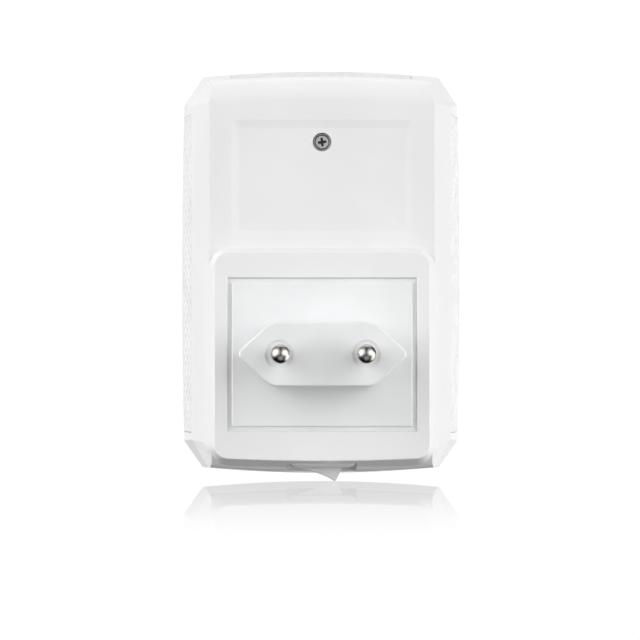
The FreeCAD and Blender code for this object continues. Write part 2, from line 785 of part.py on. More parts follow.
def coilWinding():
    x, z = 12.8, 43.6
    outer = box(x - 3.0, x + 3.0, 20.6, 23.8, z - 3.7, z + 3.7)
    outer = filleted(outer, 1.0, lambda edge: edge.BoundBox.YLength > 3)
    return outer.cut(box(x - 1.9, x + 1.9, 20, 25, z - 2.5, z + 2.5))


def controllerIc():
    body = box(-4.7, 4.7, 22.4, 25.9, 3.0, 9.2)
    body = filleted(body, 0.3, lambda edge: liesAtY(edge, 22.4))
    body = body.cut(rodY(-4.7, 6.1, 22, 23.1, 0.8))
    legs = []
    feet = []
    for column in range(4):
        x = -3.81 + 2.54 * column
        for side in (-1, 1):
            z = 6.1 + side * 3.4
            z0, z1 = sorted((z - side * 0.4, z + side * 0.12))
            legs.append(box(x - 0.6, x + 0.6, 24.0, 26.9, z0, z1))
            feet.append((x, z))
    solid, feet = radialPart(fused([body] + legs), feet, 26.8)
    return solid, feet


def transistors():
    parts = []
    for x, z in ((-15.5, -0.5), (-15.5, -7.5)):
        can = rodY(x, z, 20.4, 24.8, 2.2).cut(box(x + 1.2, x + 4, 20, 25, z - 3, z + 3))
        parts.append(radialPart(can, [(x - 0.2, z - 1.27), (x - 0.2, z), (x - 0.2, z + 1.27)], 24.5))
    return parts


def resistors():
    places = [(9.6, -8.0), (12.4, -8.0), (15.2, -8.0), (-8.8, -11.5), (-6.0, -11.5), (-3.2, -11.5)]
    return [axialPart(x, z, 25.9, 3.4, 0.85, 6.2, False) for x, z in places]


def zenerDiode():
    return axialPart(18.4, 0.0, 25.9, 3.2, 0.9, 6.2, False)


def ceramicCapacitors():
    parts = []
    for x, z in ((-8.4, -3.5), (-18.0, 13.0), (19.0, 12.5)):
        disc = rodX(x - 0.9, x + 0.9, 23.2, z, 2.3)
        disc = filleted(disc, 0.6, lambda edge: edge.Length > 10)
        parts.append(radialPart(disc, [(x, z - 1.5), (x, z + 1.5)], 24))
    return parts


def boardFeet():
    feet = []
    single = [filmCapacitor(), varistor(), fuseResistor(), coilBobbin(), controllerIc(), zenerDiode()]
    grouped = rectifierDiodes() + electrolytics() + transistors() + resistors() + ceramicCapacitors()
    for part in single + grouped:
        feet.extend(part[1])
    return feet


def circuitBoard():
    points = [(-boardHalf + boardCut, boardTop), (boardHalf - boardCut, boardTop),
              (boardHalf, boardTop - boardCut), (boardHalf, boardBottom + boardCut),
              (boardHalf - boardCut, boardBottom), (-boardHalf + boardCut, boardBottom),
              (-boardHalf, boardBottom + boardCut), (-boardHalf, boardTop - boardCut)]
    board = Part.Face(closedWire(points, [None] * 8, boardY)).extrude(V(0, boardThick, 0))
    holes = [rodY(x, z, 26, 30, leadRadius + 0.05) for x, z in boardFeet() + lampFeet()]
    holes += [rodY(side * boardFixX, z, 26, 30, 1.15) for side in (-1, 1) for z in boardFixZ]
    holes.append(rodY(0, screwZ, 26, 30, 3.7))
    return board.cut(Part.makeCompound(holes))


# Lamp and sound source

def lampFeet():
    return [(-0.8, lampZ), (0.8, lampZ)]


def lampLed():
    body = rodY(0, lampZ, lampBaseY + 0.6, lampBaseY + 3.6, lampRadius)
    rim = rodY(0, lampZ, lampBaseY, lampBaseY + 0.7, 1.9)
    dome = Part.makeSphere(lampRadius, V(0, lampBaseY + 3.6, lampZ))
    legs = [rodY(x, z, 27.6 - leadOut, lampBaseY + 0.3, leadRadius) for x, z in lampFeet()]
    return fused([body, rim, dome] + legs)


def lampSpacer():
    tube = rodY(0, lampZ, boardY + boardThick, lampBaseY, 2.2)
    return tube.cut(Part.makeCompound([rodY(x, z, 28, 39, leadRadius + 0.15) for x, z in lampFeet()]))


def lampLens():
    stem = rodY(0, lampZ, 44.6, frontY + 0.4, lensRadius)
    stem = filleted(stem, 0.35, lambda edge: liesAtY(edge, frontY + 0.4))
    rim = rodY(0, lampZ, 46.4, frontY - wall, 3.4)
    return fused([stem, rim])


def transducerHousing():
    cup = rodY(0, speakerZ, speakerBack, speakerFlangeY, speakerRadius)
    cup = filleted(cup, 1.5, lambda edge: liesAtY(edge, speakerBack))
    cup = cup.cut(rodY(0, speakerZ, speakerBack + speakerWall, speakerFlangeY + 1,
                       speakerRadius - speakerWall))
    ears = []
    for side in (-1, 1):
        x0, x1 = sorted((side * (speakerRadius - 0.6), side * earReach))
        ear = box(x0, x1, earY, earY + earThick, speakerZ - 3, speakerZ + 3)
        ears.append(ear.fuse(rodY(side * earReach, speakerZ, earY, earY + earThick, 3)))
    pillar = rodY(0, speakerZ, speakerBack + 1, 35.0, 8.0).cut(rodY(0, speakerZ, 30, 36, 6.8))
    cup = fused([cup] + ears + [pillar])
    holes = [rodY(side * earReach, speakerZ, 39, 43, 1.1) for side in (-1, 1)]
    holes += [rodY(side * 6.0, speakerZ + 10, 31, 35, 0.6) for side in (-1, 1)]
    return cup.cut(Part.makeCompound(holes))


def transducerCone():
    # thin funnel from the disc's centre to the cup's mouth
    outer = [V(1.6, 36.2, 0), V(2.2, 38.0, 0), V(13.6, 45.9, 0), V(15.3, 45.9, 0)]
    inner = [V(15.3, 46.5, 0), V(13.3, 46.5, 0), V(1.7, 38.5, 0), V(0.9, 36.2, 0)]
    face = Part.Face(Part.makePolygon(outer + inner + outer[:1]))
    cone = face.revolve(V(0, 0, 0), V(0, 1, 0), 360)
    cone.translate(V(0, 0, speakerZ))
    return cone


def piezoDisc():
    return rodY(0, speakerZ, 35.0, 35.3, 10.0)


def piezoCeramic():
    disc = rodY(0, speakerZ, 35.3, 35.6, 7.0)
    hub = rodY(0, speakerZ, 35.6, 36.2, 1.7)
    return fused([disc, hub])


def speakerGasket():
    ring = rodY(0, speakerZ, speakerFlangeY, 47.7, speakerRadius)
    return ring.cut(rodY(0, speakerZ, 46, 49, soundHole))


def dustMesh():
    return rodY(0, speakerZ, 47.7, frontY - wall, speakerRadius - 0.5)


# Wires

def wireTube(points, radius, bends):
    # straight runs joined by tangent arcs, one bend radius for each inner point
    edges = []
    start = V(*points[0])
    for index in range(1, len(points) - 1):
        corner = V(*points[index])
        before = (corner - V(*points[index - 1])).normalize()
        after = (V(*points[index + 1]) - corner).normalize()
        turn = before.getAngle(after)
        cut = bends[index - 1] * math.tan(turn / 2)
        a = corner - before * cut
        b = corner + after * cut
        inward = (after - before).normalize()
        offset = bends[index - 1] / math.cos(turn / 2) - bends[index - 1]
        edges.append(Part.LineSegment(start, a).toShape())
        edges.append(Part.Arc(a, corner + inward * offset, b).toShape())
        start = b
    edges.append(Part.LineSegment(start, V(*points[-1])).toShape())
    path = Part.Wire(edges)
    direction = (V(*points[1]) - V(*points[0])).normalize()
    section = Part.Wire([Part.Circle(V(*points[0]), direction, radius).toShape()])
    return path.makePipeShell([section], True, False)


def wirePinToSwitch():
    y = contactY + contactThick
    x = pinPoint(-1, contactY).x
    return wireTube([(x, y, 8.4), (x, switchY, 8.4), (0, switchY, 1.5), (0, switchY, -6.3)], 0.7, (2.4, 3.5))


def wireSwitchToBoard():
    return wireTube([(5.1, switchY, -6.3), (5.1, switchY, -1.5), (5.1, boardY, -1.5)], 0.7, (3.2,))


def wirePinToBoard():
    y = contactY + contactThick
    x = pinPoint(1, contactY).x
    return wireTube([(x, y, 8.4), (x, 20.4, 8.4), (14.8, 22.6, 9.4), (14.8, boardY, 9.4)], 0.7, (2.2, 1.9))


def transducerWires():
    wires = []
    for side in (-1, 1):
        x = side * 6.0
        wires.append(wireTube([(x, boardY + boardThick, 40), (x, 30.3, 40), (x, 30.3, speakerZ + 10),
                               (x, speakerBack, speakerZ + 10)], 0.5, (1.1, 1.1)))
    return wires


def group(parts):
    return Part.makeCompound([part[0] if isinstance(part, tuple) else part for part in parts])


def buildNodes():
    nodes = {
        "rear_housing": rearHousing(),
        "front_housing": frontHousing(),
        "side_panel_right": sideTrim(),
        "side_panel_left": mirrored(sideTrim()),
        "top_panel": topTrim(),
        "speaker_grille": speakerGrille(),
        "dust_mesh": dustMesh(),
        "speaker_gasket": speakerGasket(),
        "transducer_housing": transducerHousing(),
        "transducer_cone": transducerCone(),
        "piezo_disc": piezoDisc(),
        "piezo_ceramic": piezoCeramic(),
        "transducer_screws": group(transducerScrews()),
        "transducer_wires": group(transducerWires()),
        "lamp_lens": lampLens(),
        "lamp_led": lampLed(),
        "lamp_spacer": lampSpacer(),
        "circuit_board": circuitBoard(),
        "board_screws": group(boardScrews()),
        "housing_screw": housingScrew(),
        "plug_insert": plugInsert(),
        "plug_clamp": plugClamp(),
        "clamp_screws": group(clampScrews()),
        "switch_body": switchBody(),
        "switch_rocker": switchRocker(),
        "switch_plunger": switchPlunger(),
        "switch_spring": switchSpring(),
        "switch_bridge": switchBridge(),
        "switch_terminal_common": terminalCommon(),
        "switch_terminal_load": terminalLoad(),
        "wire_pin_to_switch": wirePinToSwitch(),
        "wire_switch_to_board": wireSwitchToBoard(),
        "wire_pin_to_board": wirePinToBoard(),
        "film_capacitor": filmCapacitor()[0],
        "varistor": varistor()[0],
        "fuse_resistor": fuseResistor()[0],
        "rectifier_diodes": group(rectifierDiodes()),
        "electrolytic_capacitors": group(electrolytics()),
        "coil_core": coilCore(),
        "coil_bobbin": coilBobbin()[0],
        "coil_winding": coilWinding(),
        "controller_ic": controllerIc()[0],
        "transistors": group(transistors()),
        "resistors": group(resistors()),
        "zener_diode": zenerDiode()[0],
        "ceramic_capacitors": group(ceramicCapacitors()),
    }
    for side, name in ((-1, "left"), (1, "right")):
        nodes["plug_pin_" + name] = plugPin(side)
        nodes["pin_sleeve_" + name] = pinSleeve(side)
        nodes["pin_contact_" + name] = pinContact(side)
    return nodes


def main():
    os.makedirs("parts", exist_ok=True)
    for name, shape in buildNodes().items():
        shape.exportStep("parts/" + name + ".step")
        bounds = shape.BoundBox
        print("%-24s solids %d valid %s volume %.1f  x %.2f %.2f  y %.2f %.2f  z %.2f %.2f" % (
            name, len(shape.Solids), shape.isValid(), shape.Volume,
            bounds.XMin, bounds.XMax, bounds.YMin, bounds.YMax, bounds.ZMin, bounds.ZMax))


main()
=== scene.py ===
import math
import bmesh
import bpy
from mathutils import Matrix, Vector
from mathutils.bvhtree import BVHTree


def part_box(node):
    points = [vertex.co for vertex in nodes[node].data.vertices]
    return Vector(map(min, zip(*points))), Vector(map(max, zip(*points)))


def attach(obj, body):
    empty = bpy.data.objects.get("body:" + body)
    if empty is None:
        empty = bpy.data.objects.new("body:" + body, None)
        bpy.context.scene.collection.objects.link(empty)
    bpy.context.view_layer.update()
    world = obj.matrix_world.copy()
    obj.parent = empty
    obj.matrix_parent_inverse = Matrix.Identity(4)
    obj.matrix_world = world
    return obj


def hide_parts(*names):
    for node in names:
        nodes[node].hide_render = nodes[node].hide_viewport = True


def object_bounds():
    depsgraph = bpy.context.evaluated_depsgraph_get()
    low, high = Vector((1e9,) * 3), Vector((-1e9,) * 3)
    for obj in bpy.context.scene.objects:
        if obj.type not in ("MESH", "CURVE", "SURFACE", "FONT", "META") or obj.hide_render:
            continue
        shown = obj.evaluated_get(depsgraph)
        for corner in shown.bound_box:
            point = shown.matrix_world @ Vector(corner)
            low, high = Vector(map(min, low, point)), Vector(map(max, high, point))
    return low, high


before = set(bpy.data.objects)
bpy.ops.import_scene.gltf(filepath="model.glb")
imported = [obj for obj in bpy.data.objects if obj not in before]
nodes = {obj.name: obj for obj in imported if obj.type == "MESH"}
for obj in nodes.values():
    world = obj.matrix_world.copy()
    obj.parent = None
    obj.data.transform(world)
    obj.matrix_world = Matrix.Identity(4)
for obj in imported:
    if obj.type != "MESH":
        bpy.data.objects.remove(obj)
bpy.context.view_layer.update()
cadLow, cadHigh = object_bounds()
mm = 0.001
print("frame loaded:", len(nodes), "nodes")


# Camera and studio

camera = dict(
    location=(-0.0069, -0.650, -0.002),
    aim=(-0.00059, 0.0, 0.00724),
    lens=172.6,
    sensor=36,
    clip=(0.01, 50),
)

# each soft light stands far off at (turn from the front to the right, rise, power), in degrees
softLights = dict(
    frontRight=(40, 10, 1.7),
    frontLeft=(-40, 15, 1.0),
    sideRight=(75, 10, 1.6),
    sideLeft=(-75, 10, 2.5),
    rearLeft=(-115, 10, 1.0),
    highRight=(55, 40, 0.6),
    highLeft=(-65, 40, 0.9),
    rearTop=(180, 55, 1.4),
    lowRight=(105, -20, 2.2),
    below=(0, -50, 0.5),
)

studio = dict(
    lightReach=(40, 5),     # degrees from a light's middle where it starts and is full
    wall=1.3,               # bright wall straight behind the object
    wallReach=(0.90, 0.96),     # share of the view direction along +Y where it starts and is full
    backdrop=1.05,          # what the camera sees behind the object
    floorSize=3.0,
    floorGlow=1.02,
    floorRough=0.02,
    floorGap=0.06 * mm,
    floorShine=0.45,
    floorFade=(-0.25, 0.012, 0.06, 0.30),   # where the shine starts, is full, and ends again
    floorWidth=(0.036, 0.075),
)


def addCamera():
    data = bpy.data.cameras.new("camera")
    data.lens = camera["lens"]
    data.sensor_width = camera["sensor"]
    data.clip_start, data.clip_end = camera["clip"]
    item = bpy.data.objects.new("camera", data)
    bpy.context.scene.collection.objects.link(item)
    item.location = camera["location"]
    aim = Vector(camera["aim"]) - Vector(camera["location"])
    item.rotation_euler = aim.to_track_quat("-Z", "Y").to_euler()
    bpy.context.scene.camera = item


def calc(tree, kind, *inputs):
    item = tree.nodes.new("ShaderNodeMath")
    item.operation = kind
    for index, value in enumerate(inputs):
        if isinstance(value, (int, float)):
            item.inputs[index].default_value = value
        else:
            tree.links.new(value, item.inputs[index])
    return item.outputs[0]


def smooth(tree, value, start, end, low=0.0, high=1.0):
    item = tree.nodes.new("ShaderNodeMapRange")
    item.interpolation_type = "SMOOTHSTEP"
    tree.links.new(value, item.inputs["Value"])
    for name, number in (("From Min", start), ("From Max", end), ("To Min", low), ("To Max", high)):
        item.inputs[name].default_value = number
    return item.outputs["Result"]


def axesOf(tree, place):
    split = tree.nodes.new("ShaderNodeSeparateXYZ")
    tree.links.new(place, split.inputs[0])
    return split.outputs


def addRoomLight():
    world = bpy.data.worlds.new("room")
    bpy.context.scene.world = world
    world.use_nodes = True
    tree = world.node_tree
    tree.nodes.clear()
    place = tree.nodes.new("ShaderNodeTexCoord").outputs["Generated"]
    light = smooth(tree, axesOf(tree, place)[1], *studio["wallReach"], 0.0, studio["wall"])
    start, full = [math.cos(math.radians(angle)) for angle in studio["lightReach"]]
    for turn, rise, power in softLights.values():
        turn, rise = math.radians(turn), math.radians(rise)
        towards = tree.nodes.new("ShaderNodeVectorMath")
        towards.operation = "DOT_PRODUCT"
        tree.links.new(place, towards.inputs[0])
        flat = math.cos(rise)
        towards.inputs[1].default_value = (math.sin(turn) * flat, -math.cos(turn) * flat, math.sin(rise))
        glow = smooth(tree, towards.outputs["Value"], start, full, 0.0, power)
        light = calc(tree, "ADD", light, glow)
    seen = tree.nodes.new("ShaderNodeLightPath").outputs["Is Camera Ray"]
    mix = tree.nodes.new("ShaderNodeMix")
    tree.links.new(seen, mix.inputs[0])
    tree.links.new(light, mix.inputs[2])
    mix.inputs[3].default_value = studio["backdrop"]
    sky = tree.nodes.new("ShaderNodeBackground")
    out = tree.nodes.new("ShaderNodeOutputWorld")
    tree.links.new(mix.outputs[0], sky.inputs["Color"])
    tree.links.new(sky.outputs[0], out.inputs["Surface"])


def addFloor():
    level = cadLow.z - studio["floorGap"]
    mesh = bpy.data.meshes.new("floor")
    form = bmesh.new()
    bmesh.ops.create_grid(form, x_segments=24, y_segments=24, size=studio["floorSize"])
    form.to_mesh(mesh)
    form.free()
    floor = bpy.data.objects.new("floor", mesh)
    bpy.context.scene.collection.objects.link(floor)
    floor.location = (0, 0, level)
    paint = bpy.data.materials.new("floorGloss")
    paint.use_nodes = True
    tree = paint.node_tree
    tree.nodes.clear()
    place = tree.nodes.new("ShaderNodeTexCoord").outputs["Object"]
    axes = axesOf(tree, place)
    start, near, far, end = studio["floorFade"]
    share = smooth(tree, axes[1], start, near, 0.0, studio["floorShine"])
    share = calc(tree, "MULTIPLY", share, smooth(tree, axes[1], far, end, 1.0, 0.0))
    across = calc(tree, "ABSOLUTE", axes[0])
    share = calc(tree, "MULTIPLY", share, smooth(tree, across, *studio["floorWidth"], 1.0, 0.0))
    bright = tree.nodes.new("ShaderNodeEmission")
    bright.inputs["Strength"].default_value = studio["floorGlow"]
    shine = tree.nodes.new("ShaderNodeBsdfGlossy")
    shine.inputs["Roughness"].default_value = studio["floorRough"]
    mix = tree.nodes.new("ShaderNodeMixShader")
    tree.links.new(share, mix.inputs[0])
    tree.links.new(bright.outputs[0], mix.inputs[1])
    tree.links.new(shine.outputs[0], mix.inputs[2])
    out = tree.nodes.new("ShaderNodeOutputMaterial")
    tree.links.new(mix.outputs[0], out.inputs["Surface"])
    mesh.materials.append(paint)
    floor.visible_diffuse = False
    floor.visible_glossy = False
    floor.visible_shadow = False


addCamera()
addRoomLight()
addFloor()
bpy.context.scene.view_settings.view_transform = "Standard"
print("camera and studio set")


# Surfaces

# colour and second are the two tones the surface drifts between over drift mm; grain (mm) and
# relief (mm) are the fine texture; stretch draws the texture out along (x, y, z)
finishes = dict(
    casingPlastic=dict(colour=(0.875, 0.877, 0.872), second=(0.900, 0.902, 0.898), drift=18, grain=0.22,
                       relief=0.004, rough=0.36, spread=0.06,
                       on=("rear_housing", "front_housing", "speaker_grille")),
    insertPlastic=dict(colour=(0.865, 0.872, 0.876), second=(0.895, 0.902, 0.906), drift=11, grain=0.16,
                       relief=0.003, rough=0.33, spread=0.06, on=("plug_insert",)),
    trimPlastic=dict(colour=(0.80, 0.805, 0.80), second=(0.86, 0.865, 0.86), drift=5, grain=0.12,
                     relief=0.006, rough=0.5, spread=0.08,
                     on=("side_panel_left", "side_panel_right", "top_panel")),
    switchPlastic=dict(colour=(0.68, 0.68, 0.678), second=(0.73, 0.73, 0.727), drift=6, grain=0.10,
                       relief=0.003, rough=0.28, spread=0.05,
                       on=("switch_body", "switch_rocker", "plug_clamp")),
    nickel=dict(colour=(0.48, 0.465, 0.44), second=(0.56, 0.545, 0.52), drift=4, grain=0.9,
                relief=0.0012, rough=0.26, spread=0.05, metal=1.0, stretch=(1, 14, 1),
                on=("plug_pin_left", "plug_pin_right")),
    # painted shade: between the two depths in pit (mm under the head's face) the screw blends to the dark
    # paintedShadeColour, which paints its cross recess, ring groove and head rim as shaded
    screwSteel=dict(colour=(0.56, 0.56, 0.57), second=(0.66, 0.66, 0.67), drift=0.9, grain=0.07,
                    relief=0.0006, rough=0.38, spread=0.06, metal=0.55, paintedShadeDepth=(0.14, 0.30),
                    paintedShadeColour=(0.09, 0.09, 0.095), on=("housing_screw",)),
    zincSteel=dict(colour=(0.50, 0.49, 0.46), second=(0.62, 0.60, 0.56), drift=1.3, grain=0.2,
                   relief=0.002, rough=0.30, spread=0.08, metal=1.0,
                   on=("clamp_screws", "board_screws", "transducer_screws",
                       "switch_spring")),
    brass=dict(colour=(0.72, 0.52, 0.24), second=(0.80, 0.62, 0.33), drift=3, grain=0.5,
               relief=0.002, rough=0.28, spread=0.07, metal=1.0, stretch=(1, 1, 12),
               on=("pin_contact_left", "pin_contact_right", "switch_bridge", "switch_terminal_common",
                   "switch_terminal_load", "piezo_disc")),
    chipPlastic=dict(colour=(0.10, 0.10, 0.11), second=(0.14, 0.14, 0.15), drift=3, grain=0.15,
                     relief=0.002, rough=0.40, spread=0.08,
                     on=("switch_plunger", "controller_ic", "transistors", "electrolytic_capacitors")),
    sleevePlastic=dict(colour=(0.60, 0.60, 0.59), second=(0.68, 0.68, 0.67), drift=3, grain=0.15,
                       relief=0.002, rough=0.35, spread=0.06, on=("pin_sleeve_left", "pin_sleeve_right")),
    boardGreen=dict(colour=(0.02, 0.13, 0.05), second=(0.03, 0.17, 0.07), drift=6, grain=0.3,
                    relief=0.004, rough=0.30, spread=0.06, pattern="traces", third=(0.06, 0.27, 0.12),
                    pitch=2.6, on=("circuit_board",)),
    copperWire=dict(colour=(0.55, 0.20, 0.07), second=(0.66, 0.28, 0.11), drift=2, grain=0.35,
                    relief=0.03, rough=0.28, spread=0.06, metal=1.0, stretch=(1, 9, 9),
                    on=("coil_winding",)),
    ferrite=dict(colour=(0.045, 0.043, 0.042), second=(0.08, 0.077, 0.073), drift=2, grain=0.12,
                 relief=0.008, rough=0.62, spread=0.1, on=("coil_core",)),
    bobbinPlastic=dict(colour=(0.40, 0.36, 0.28), second=(0.47, 0.43, 0.34), drift=3, grain=0.14,
                       relief=0.003, rough=0.4, spread=0.06, on=("coil_bobbin", "lamp_spacer")),
    filmBox=dict(colour=(0.62, 0.44, 0.08), second=(0.70, 0.52, 0.12), drift=5, grain=0.18,
                 relief=0.003, rough=0.34, spread=0.06, on=("film_capacitor",)),
    glaze=dict(colour=(0.10, 0.19, 0.42), second=(0.14, 0.25, 0.50), drift=3, grain=0.4,
               relief=0.006, rough=0.22, spread=0.05, on=("varistor",)),
    paleGlaze=dict(colour=(0.62, 0.34, 0.12), second=(0.70, 0.42, 0.18), drift=2, grain=0.3,
                   relief=0.005, rough=0.3, spread=0.06, on=("ceramic_capacitors",)),
    resistorGlaze=dict(colour=(0.24, 0.42, 0.50), second=(0.32, 0.50, 0.57), drift=1.2, grain=0.2,
                       relief=0.004, rough=0.34, spread=0.06, pattern="bands", third=(0.30, 0.09, 0.05),
                       pitch=1.5, on=("resistors", "fuse_resistor")),
    diodeEpoxy=dict(colour=(0.05, 0.05, 0.055), second=(0.09, 0.09, 0.095), drift=1.2, grain=0.12,
                    relief=0.004, rough=0.42, spread=0.08, on=("rectifier_diodes",)),
    diodeGlass=dict(colour=(0.62, 0.25, 0.12), second=(0.72, 0.34, 0.18), drift=1.2, grain=0.3,
                    relief=0.002, rough=0.12, spread=0.04, on=("zener_diode",)),
    piezoCeramic=dict(colour=(0.70, 0.66, 0.58), second=(0.79, 0.75, 0.67), drift=2.5, grain=0.1,
                      relief=0.006, rough=0.55, spread=0.1, on=("piezo_ceramic",)),
    coneFoil=dict(colour=(0.72, 0.73, 0.74), second=(0.82, 0.83, 0.84), drift=3, grain=0.25,
                  relief=0.006, rough=0.28, spread=0.08, metal=1.0, on=("transducer_cone",)),
    cupPlastic=dict(colour=(0.05, 0.05, 0.055), second=(0.08, 0.08, 0.085), drift=6, grain=0.16,
                    relief=0.005, rough=0.45, spread=0.07, on=("transducer_housing",)),
    gasketFoam=dict(colour=(0.035, 0.035, 0.037), second=(0.07, 0.07, 0.073), drift=1.5, grain=0.35,
                    relief=0.06, rough=0.9, spread=0.08, on=("speaker_gasket",)),
    meshCloth=dict(colour=(0.07, 0.07, 0.075), second=(0.10, 0.10, 0.105), drift=2, grain=0.2,
                   relief=0.02, rough=0.7, spread=0.1, pattern="weave", third=(0.22, 0.22, 0.23),
                   pitch=0.35, on=("dust_mesh",)),
    lampRed=dict(colour=(0.48, 0.02, 0.015), second=(0.58, 0.04, 0.03), drift=1.5, grain=0.3,
                 relief=0.002, rough=0.18, spread=0.04, on=("lamp_led",)),
    lensClear=dict(colour=(0.86, 0.88, 0.88), second=(0.92, 0.93, 0.93), drift=1.5, grain=0.3,
                   relief=0.002, rough=0.12, spread=0.04, clear=0.55, on=("lamp_lens",)),
    brownWire=dict(colour=(0.16, 0.07, 0.03), second=(0.21, 0.10, 0.05), drift=3, grain=0.25,
                   relief=0.004, rough=0.4, spread=0.06, on=("wire_pin_to_switch", "wire_switch_to_board")),
    blueWire=dict(colour=(0.02, 0.07, 0.30), second=(0.04, 0.11, 0.38), drift=3, grain=0.25,
                  relief=0.004, rough=0.4, spread=0.06, on=("wire_pin_to_board",)),
    redWire=dict(colour=(0.42, 0.03, 0.02), second=(0.52, 0.06, 0.04), drift=3, grain=0.25,
                 relief=0.004, rough=0.4, spread=0.06, on=("transducer_wires",)),
)


def noiseAt(tree, place, pitch, detail):
    item = tree.nodes.new("ShaderNodeTexNoise")
    item.inputs["Scale"].default_value = 1 / (pitch * mm)
    item.inputs["Detail"].default_value = detail
    tree.links.new(place, item.inputs["Vector"])
    return item.outputs["Fac"]


def blend(tree, share, first, second):
    # first is a colour or an output, second a colour
    item = tree.nodes.new("ShaderNodeMix")
    item.data_type = "RGBA"
    tree.links.new(share, item.inputs["Factor"])
    if isinstance(first, tuple):
        item.inputs[6].default_value = (*first, 1)
    else:
        tree.links.new(first, item.inputs[6])
    item.inputs[7].default_value = (*second, 1)
    return item.outputs[2]


def patternMask(tree, place, kind, pitch):
    axes = axesOf(tree, place)
    turns = 2 * math.pi / (pitch * mm)
    if kind == "traces":
        cells = tree.nodes.new("ShaderNodeTexVoronoi")
        cells.feature = "DISTANCE_TO_EDGE"
        cells.inputs["Scale"].default_value = 1 / (pitch * mm)
        tree.links.new(place, cells.inputs["Vector"])
        return smooth(tree, cells.outputs["Distance"], 0.10, 0.16, 1.0, 0.0)
    across = calc(tree, "SINE", calc(tree, "MULTIPLY", axes[0], turns))
    if kind == "bands":
        return smooth(tree, across, 0.55, 0.75)
    along = calc(tree, "SINE", calc(tree, "MULTIPLY", axes[2], turns))
    return smooth(tree, calc(tree, "MULTIPLY", across, along), -0.2, 0.4)


def paintOf(name, finish):
    paint = bpy.data.materials.new(name)
    paint.use_nodes = True
    tree = paint.node_tree
    shader = tree.nodes["Principled BSDF"]
    place = tree.nodes.new("ShaderNodeTexCoord").outputs["Object"]
    drawn = tree.nodes.new("ShaderNodeMapping")
    drawn.inputs["Scale"].default_value = finish.get("stretch", (1, 1, 1))
    tree.links.new(place, drawn.inputs["Vector"])
    drift = smooth(tree, noiseAt(tree, place, finish["drift"], 3), 0.35, 0.65)
    grain = noiseAt(tree, drawn.outputs[0], finish["grain"], 2)
    tone = blend(tree, drift, finish["colour"], finish["second"])
    height = grain
    if "pattern" in finish:
        mask = patternMask(tree, place, finish["pattern"], finish["pitch"])
        tone = blend(tree, mask, tone, finish["third"])
        height = calc(tree, "ADD", grain, mask)
    if "paintedShadeDepth" in finish:
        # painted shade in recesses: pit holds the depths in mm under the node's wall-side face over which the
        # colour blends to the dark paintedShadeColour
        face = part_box(finish["on"][0])[0][1]
        start, end = [face + depth * mm for depth in finish["paintedShadeDepth"]]
        tone = blend(tree, smooth(tree, axesOf(tree, place)[1], start, end), tone, finish["paintedShadeColour"])
    tree.links.new(tone, shader.inputs["Base Color"])
    rough, spread = finish["rough"], finish["spread"]
    tree.links.new(smooth(tree, grain, 0.3, 0.7, rough - spread, rough + spread), shader.inputs["Roughness"])
    bump = tree.nodes.new("ShaderNodeBump")
    bump.inputs["Distance"].default_value = finish["relief"] * mm
    tree.links.new(height, bump.inputs["Height"])
    tree.links.new(bump.outputs[0], shader.inputs["Normal"])
    shader.inputs["Metallic"].default_value = finish.get("metal", 0.0)
    shader.inputs["Transmission Weight"].default_value = finish.get("clear", 0.0)
    return paint


paints = {}
for name, finish in finishes.items():
    paints[name] = paintOf(name, finish)
    for node in finish["on"]:
        nodes[node].data.materials[0] = paints[name]
painted = {node for finish in finishes.values() for node in finish["on"]}
print("surfaces made:", len(paints), "nodes without one:", sorted(set(nodes) - painted))


def makePiece(name, form, paint):
    mesh = bpy.data.meshes.new(name)
    form.to_mesh(mesh)
    form.free()
    mesh.materials.append(paint)
    for face in mesh.polygons:
        face.use_smooth = True
    piece = bpy.data.objects.new(name, mesh)
    bpy.context.scene.collection.objects.link(piece)
    return piece


# Textured panels in the flared walls

panelWeave = dict(
    step=0.28,          # mm between grid lines
    cell=(4.3, 3.1),    # mm, length of one diamond across the wall and along it
    topCell=(4.3, 2.2),
    sink=0.28,          # mm from crest to valley
    groove=(0.45, 0.7),     # how wide a groove is for its cell, and how its sides curve
    border=0.7,         # mm left plain round the edge
    borderFade=0.4,
    edgeGap=0.02,
    thick=0.72,
)


def nodeSkin(node):
    copy = bmesh.new()
    copy.from_mesh(node.data)
    copy.transform(node.matrix_world)
    skin = BVHTree.FromBMesh(copy)
    copy.free()
    return skin


def weaveDepth(across, along, cell):
    # staggered long diamonds: 0 on the crests, 1 in the grooves between them
    row = across / cell[0]
    place = along / cell[1]
    first = abs((row + place) % 1.0 - 0.5) * 2
    second = abs((row - place) % 1.0 - 0.5) * 2
    wide, curve = panelWeave["groove"]
    return 1.0 - min(1.0, min(1 - first, 1 - second) / wide) ** curve


